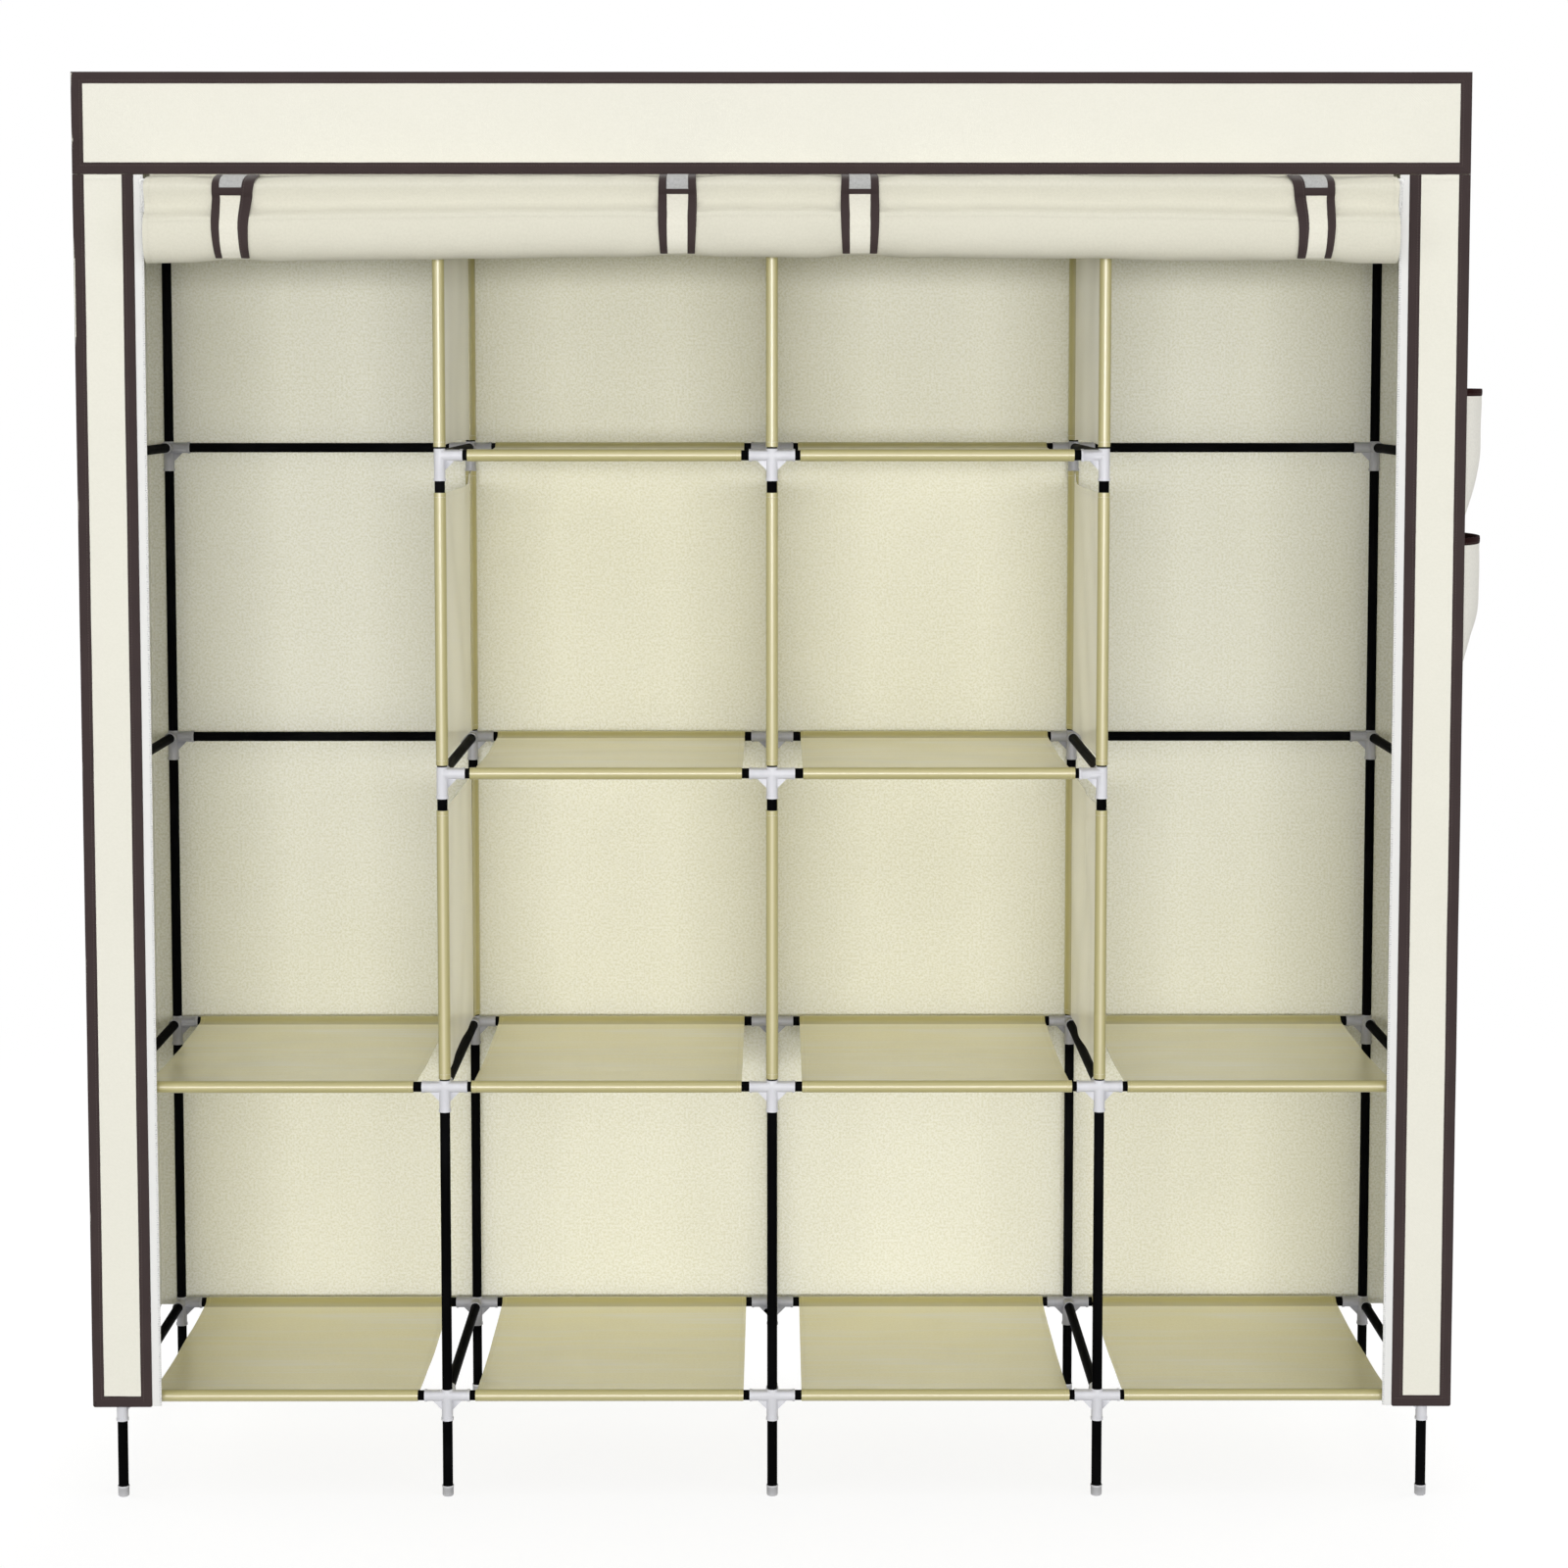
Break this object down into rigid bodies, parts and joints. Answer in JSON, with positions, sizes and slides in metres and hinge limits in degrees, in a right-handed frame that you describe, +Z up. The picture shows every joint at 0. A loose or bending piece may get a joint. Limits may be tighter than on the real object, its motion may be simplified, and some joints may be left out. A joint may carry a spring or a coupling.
{
  "type": "portable fabric wardrobe",
  "caption": "Free-standing wardrobe of push-fit steel tubes with cloth shelves, partitions and hanging bays, in a sewn cover with a roll-up front door.",
  "frame": {"origin": "on the floor, in the middle of the whole object's box, side pockets and rolled door included", "axes": "+Z up, the open front faces -Y, +X is the right side as seen from the front, where the pockets are"},
  "size_m": [1.7484, 0.4982, 1.7763],
  "materials": {
    "black_tube": "gloss",
    "grey_plastic": "satin",
    "shelf_cloth": "matte",
    "partition_cloth": "matte",
    "cover_cloth": "matte",
    "door_cloth": "matte",
    "strap_cloth": "matte",
    "zip_metal": "satin"
  },
  "bodies": {
    "frame_and_cover": {"bottom_frame": "black_tube", "lower_frame": "black_tube", "middle_frame": "black_tube", "upper_frame": "black_tube", "top_frame": "black_tube", "front_post_1": "black_tube", "front_foot_cap_1": "grey_plastic", "front_post_2": "black_tube", "front_foot_cap_2": "grey_plastic", "front_post_3": "black_tube", "front_foot_cap_3": "grey_plastic", "front_post_4": "black_tube", "front_foot_cap_4": "grey_plastic", "front_post_5": "black_tube", "front_foot_cap_5": "grey_plastic", "rear_post_1": "black_tube", "rear_foot_cap_1": "grey_plastic", "rear_post_2": "black_tube", "rear_foot_cap_2": "grey_plastic", "rear_post_3": "black_tube", "rear_foot_cap_3": "grey_plastic", "rear_post_4": "black_tube", "rear_foot_cap_4": "grey_plastic", "rear_post_5": "black_tube", "rear_foot_cap_5": "grey_plastic", "bottom_shelf_1": "shelf_cloth", "bottom_shelf_2": "shelf_cloth", "bottom_shelf_3": "shelf_cloth", "bottom_shelf_4": "shelf_cloth", "lower_shelf_1": "shelf_cloth", "lower_shelf_2": "shelf_cloth", "lower_shelf_3": "shelf_cloth", "lower_shelf_4": "shelf_cloth", "middle_shelf_2": "shelf_cloth", "middle_shelf_3": "shelf_cloth", "upper_shelf_2": "shelf_cloth", "upper_shelf_3": "shelf_cloth", "low_partition_2": "partition_cloth", "low_partition_3": "partition_cloth", "low_partition_4": "partition_cloth", "mid_partition_2": "partition_cloth", "mid_partition_3": "partition_cloth", "mid_partition_4": "partition_cloth", "high_partition_2": "partition_cloth", "high_partition_3": "partition_cloth", "high_partition_4": "partition_cloth", "cover_roof": "cover_cloth", "cover_back": "cover_cloth", "cover_side_left": "cover_cloth", "cover_side_right": "cover_cloth", "upper_pockets": "cover_cloth", "lower_pockets": "cover_cloth", "door_header": "door_cloth"},
    "rolled_door": {"door_roll": "door_cloth"},
    "left_zip": {"zip_slider_left": "zip_metal"},
    "right_zip": {"zip_slider_right": "zip_metal"},
    "door_strap_1": {"strap_1": "strap_cloth"},
    "door_strap_2": {"strap_2": "strap_cloth"},
    "door_strap_3": {"strap_3": "strap_cloth"},
    "door_strap_4": {"strap_4": "strap_cloth"}
  },
  "joints": [
    {"name": "door_drop", "type": "slide", "parent": "frame_and_cover", "child": "rolled_door", "axis": [0, 0, -1], "range_m": [0, 1.42], "deforming": ["door_header", "strap_1", "strap_2", "strap_3", "strap_4"]},
    {"name": "left_zip_slide", "type": "slide", "parent": "frame_and_cover", "child": "left_zip", "axis": [0, 0, -1], "range_m": [0, 1.48]},
    {"name": "right_zip_slide", "type": "slide", "parent": "frame_and_cover", "child": "right_zip", "axis": [0, 0, -1], "range_m": [0, 1.48]},
    {"name": "strap_1_lift", "type": "hinge", "parent": "frame_and_cover", "child": "door_strap_1", "pos_m": [-0.6747, -0.2021, 1.6522], "axis": [-1, 0, 0], "range_deg": [0, 70]},
    {"name": "strap_2_lift", "type": "hinge", "parent": "frame_and_cover", "child": "door_strap_2", "pos_m": [-0.1375, -0.2021, 1.6522], "axis": [-1, 0, 0], "range_deg": [0, 70]},
    {"name": "strap_3_lift", "type": "hinge", "parent": "frame_and_cover", "child": "door_strap_3", "pos_m": [0.08265, -0.2021, 1.6522], "axis": [-1, 0, 0], "range_deg": [0, 70]},
    {"name": "strap_4_lift", "type": "hinge", "parent": "frame_and_cover", "child": "door_strap_4", "pos_m": [0.63175, -0.2021, 1.6522], "axis": [-1, 0, 0], "range_deg": [0, 70]}
  ]
}
